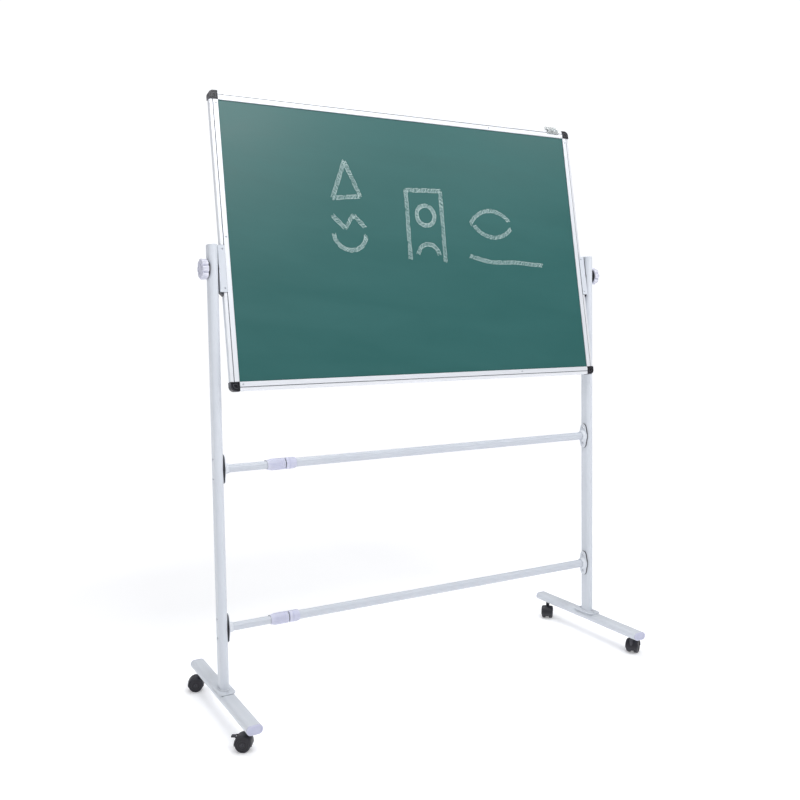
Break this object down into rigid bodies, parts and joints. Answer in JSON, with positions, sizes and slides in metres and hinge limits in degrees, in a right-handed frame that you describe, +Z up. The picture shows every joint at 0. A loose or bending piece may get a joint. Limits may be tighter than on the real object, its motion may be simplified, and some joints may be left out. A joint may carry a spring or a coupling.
{
  "type": "menu chalkboard easel",
  "caption": "Mobile revolving chalkboard: an aluminium-framed green board turns between two steel uprights on castored feet tied by telescopic crossbars.",
  "frame": {"origin": "on the floor under the middle of the stand, centre of the bounding box's bottom", "axes": "+X along the board to its right as seen from the front, -Y towards the viewer of the chalk face, +Z up"},
  "size_m": [1.3312, 0.5, 1.6767],
  "materials": {
    "white_powder_coat": "cold-white satin powder coat on steel tube and sheet",
    "anodised_aluminium": "silver anodised extrusion, satin",
    "black_plastic": "moulded black plastic, semi-gloss",
    "lilac_plastic": "moulded plastic with a pale lilac tint, semi-gloss",
    "white_plastic": "moulded white plastic, semi-gloss",
    "green_chalk_enamel": "matt green chalk enamel on sheet steel",
    "honeycomb_card": "plain card",
    "zinc_plated_steel": "zinc plated",
    "black_nylon": "moulded black nylon, satin",
    "clear_plastic": "clear moulded plastic"
  },
  "bodies": {
    "stand": {"left_upright": "white_powder_coat", "right_upright": "white_powder_coat", "left_foot": "white_powder_coat", "right_foot": "white_powder_coat", "left_foot_front_cap": "lilac_plastic", "left_foot_rear_cap": "lilac_plastic", "right_foot_front_cap": "lilac_plastic", "right_foot_rear_cap": "lilac_plastic", "lower_left_flange": "white_powder_coat", "lower_right_flange": "white_powder_coat", "upper_left_flange": "white_powder_coat", "upper_right_flange": "white_powder_coat", "lower_thin_tube": "white_powder_coat", "lower_thick_tube": "white_powder_coat", "lower_lock_collar": "lilac_plastic", "upper_thin_tube": "white_powder_coat", "upper_thick_tube": "white_powder_coat", "upper_lock_collar": "lilac_plastic", "left_spacer": "black_plastic", "left_washer": "black_plastic", "right_spacer": "black_plastic", "right_washer": "black_plastic", "front_left_castor_stem": "black_nylon", "front_right_castor_stem": "black_nylon", "rear_left_castor_stem": "black_nylon", "rear_right_castor_stem": "black_nylon"},
    "board": {"left_rail": "anodised_aluminium", "bottom_rail": "anodised_aluminium", "right_rail": "anodised_aluminium", "top_rail": "anodised_aluminium", "front_chalk_sheet": "green_chalk_enamel", "honeycomb_core": "honeycomb_card", "rear_chalk_sheet": "green_chalk_enamel", "top_clip": "clear_plastic", "bottom_left_corner_cap": "black_plastic", "bottom_right_corner_cap": "black_plastic", "top_left_corner_cap": "black_plastic", "top_right_corner_cap": "black_plastic", "left_bracket": "white_powder_coat", "left_stud": "zinc_plated_steel", "right_bracket": "white_powder_coat", "right_stud": "zinc_plated_steel"},
    "left_knob": {"left_knob": "white_plastic"},
    "right_knob": {"right_knob": "white_plastic"},
    "lower_lock_sleeve": {"lower_lock_sleeve": "lilac_plastic"},
    "upper_lock_sleeve": {"upper_lock_sleeve": "lilac_plastic"},
    "front_left_castor": {"front_left_castor_hood": "black_nylon"},
    "front_left_left_wheel": {"front_left_left_wheel": "black_nylon"},
    "front_left_right_wheel": {"front_left_right_wheel": "black_nylon"},
    "front_left_brake_lever": {"front_left_brake_lever": "black_nylon"},
    "front_right_castor": {"front_right_castor_hood": "black_nylon"},
    "front_right_left_wheel": {"front_right_left_wheel": "black_nylon"},
    "front_right_right_wheel": {"front_right_right_wheel": "black_nylon"},
    "front_right_brake_lever": {"front_right_brake_lever": "black_nylon"},
    "rear_left_castor": {"rear_left_castor_hood": "black_nylon"},
    "rear_left_left_wheel": {"rear_left_left_wheel": "black_nylon"},
    "rear_left_right_wheel": {"rear_left_right_wheel": "black_nylon"},
    "rear_right_castor": {"rear_right_castor_hood": "black_nylon"},
    "rear_right_left_wheel": {"rear_right_left_wheel": "black_nylon"},
    "rear_right_right_wheel": {"rear_right_right_wheel": "black_nylon"}
  },
  "joints": [
    {"name": "board_tilt", "type": "hinge", "parent": "stand", "child": "board", "pos_m": [0, 0, 1.19], "axis": [1, 0, 0], "continuous": true},
    {"name": "left_knob_turn", "type": "hinge", "parent": "board", "child": "left_knob", "pos_m": [-0.6468, 0, 1.19], "axis": [-1, 0, 0], "range_deg": [0, 360]},
    {"name": "right_knob_turn", "type": "hinge", "parent": "board", "child": "right_knob", "pos_m": [0.6468, 0, 1.19], "axis": [1, 0, 0], "range_deg": [0, 360]},
    {"name": "lower_lock_twist", "type": "hinge", "parent": "stand", "child": "lower_lock_sleeve", "pos_m": [-0.4635, 0, 0.243], "axis": [1, 0, 0], "range_deg": [0, 180]},
    {"name": "upper_lock_twist", "type": "hinge", "parent": "stand", "child": "upper_lock_sleeve", "pos_m": [-0.4635, 0, 0.668], "axis": [1, 0, 0], "range_deg": [0, 180]},
    {"name": "front_left_swivel", "type": "hinge", "parent": "stand", "child": "front_left_castor", "pos_m": [-0.623, -0.211, 0.04], "axis": [0, 0, 1], "continuous": true},
    {"name": "front_left_left_wheel_spin", "type": "hinge", "parent": "front_left_castor", "child": "front_left_left_wheel", "pos_m": [-0.63671, -0.20276, 0.02], "axis": [-0.515, -0.8572, 0], "continuous": true},
    {"name": "front_left_right_wheel_spin", "type": "hinge", "parent": "front_left_castor", "child": "front_left_right_wheel", "pos_m": [-0.63671, -0.20276, 0.02], "axis": [-0.515, -0.8572, 0], "continuous": true},
    {"name": "front_left_brake_press", "type": "hinge", "parent": "front_left_castor", "child": "front_left_brake_lever", "pos_m": [-0.6529, -0.19304, 0.0365], "axis": [-0.515, -0.8572, 0], "range_deg": [0, 16]},
    {"name": "front_right_swivel", "type": "hinge", "parent": "stand", "child": "front_right_castor", "pos_m": [0.623, -0.211, 0.04], "axis": [0, 0, 1], "continuous": true},
    {"name": "front_right_left_wheel_spin", "type": "hinge", "parent": "front_right_castor", "child": "front_right_left_wheel", "pos_m": [0.63671, -0.20276, 0.02], "axis": [-0.515, 0.8572, 0], "continuous": true},
    {"name": "front_right_right_wheel_spin", "type": "hinge", "parent": "front_right_castor", "child": "front_right_right_wheel", "pos_m": [0.63671, -0.20276, 0.02], "axis": [-0.515, 0.8572, 0], "continuous": true},
    {"name": "front_right_brake_press", "type": "hinge", "parent": "front_right_castor", "child": "front_right_brake_lever", "pos_m": [0.6529, -0.19304, 0.0365], "axis": [-0.515, 0.8572, 0], "range_deg": [0, 16]},
    {"name": "rear_left_swivel", "type": "hinge", "parent": "stand", "child": "rear_left_castor", "pos_m": [-0.623, 0.211, 0.04], "axis": [0, 0, 1], "continuous": true},
    {"name": "rear_left_left_wheel_spin", "type": "hinge", "parent": "rear_left_castor", "child": "rear_left_left_wheel", "pos_m": [-0.63804, 0.21647, 0.02], "axis": [-0.342, -0.9397, 0], "continuous": true},
    {"name": "rear_left_right_wheel_spin", "type": "hinge", "parent": "rear_left_castor", "child": "rear_left_right_wheel", "pos_m": [-0.63804, 0.21647, 0.02], "axis": [-0.342, -0.9397, 0], "continuous": true},
    {"name": "rear_right_swivel", "type": "hinge", "parent": "stand", "child": "rear_right_castor", "pos_m": [0.623, 0.211, 0.04], "axis": [0, 0, 1], "continuous": true},
    {"name": "rear_right_left_wheel_spin", "type": "hinge", "parent": "rear_right_castor", "child": "rear_right_left_wheel", "pos_m": [0.61189, 0.19949, 0.02], "axis": [0.7193, -0.6947, 0], "continuous": true},
    {"name": "rear_right_right_wheel_spin", "type": "hinge", "parent": "rear_right_castor", "child": "rear_right_right_wheel", "pos_m": [0.61189, 0.19949, 0.02], "axis": [0.7193, -0.6947, 0], "continuous": true}
  ]
}
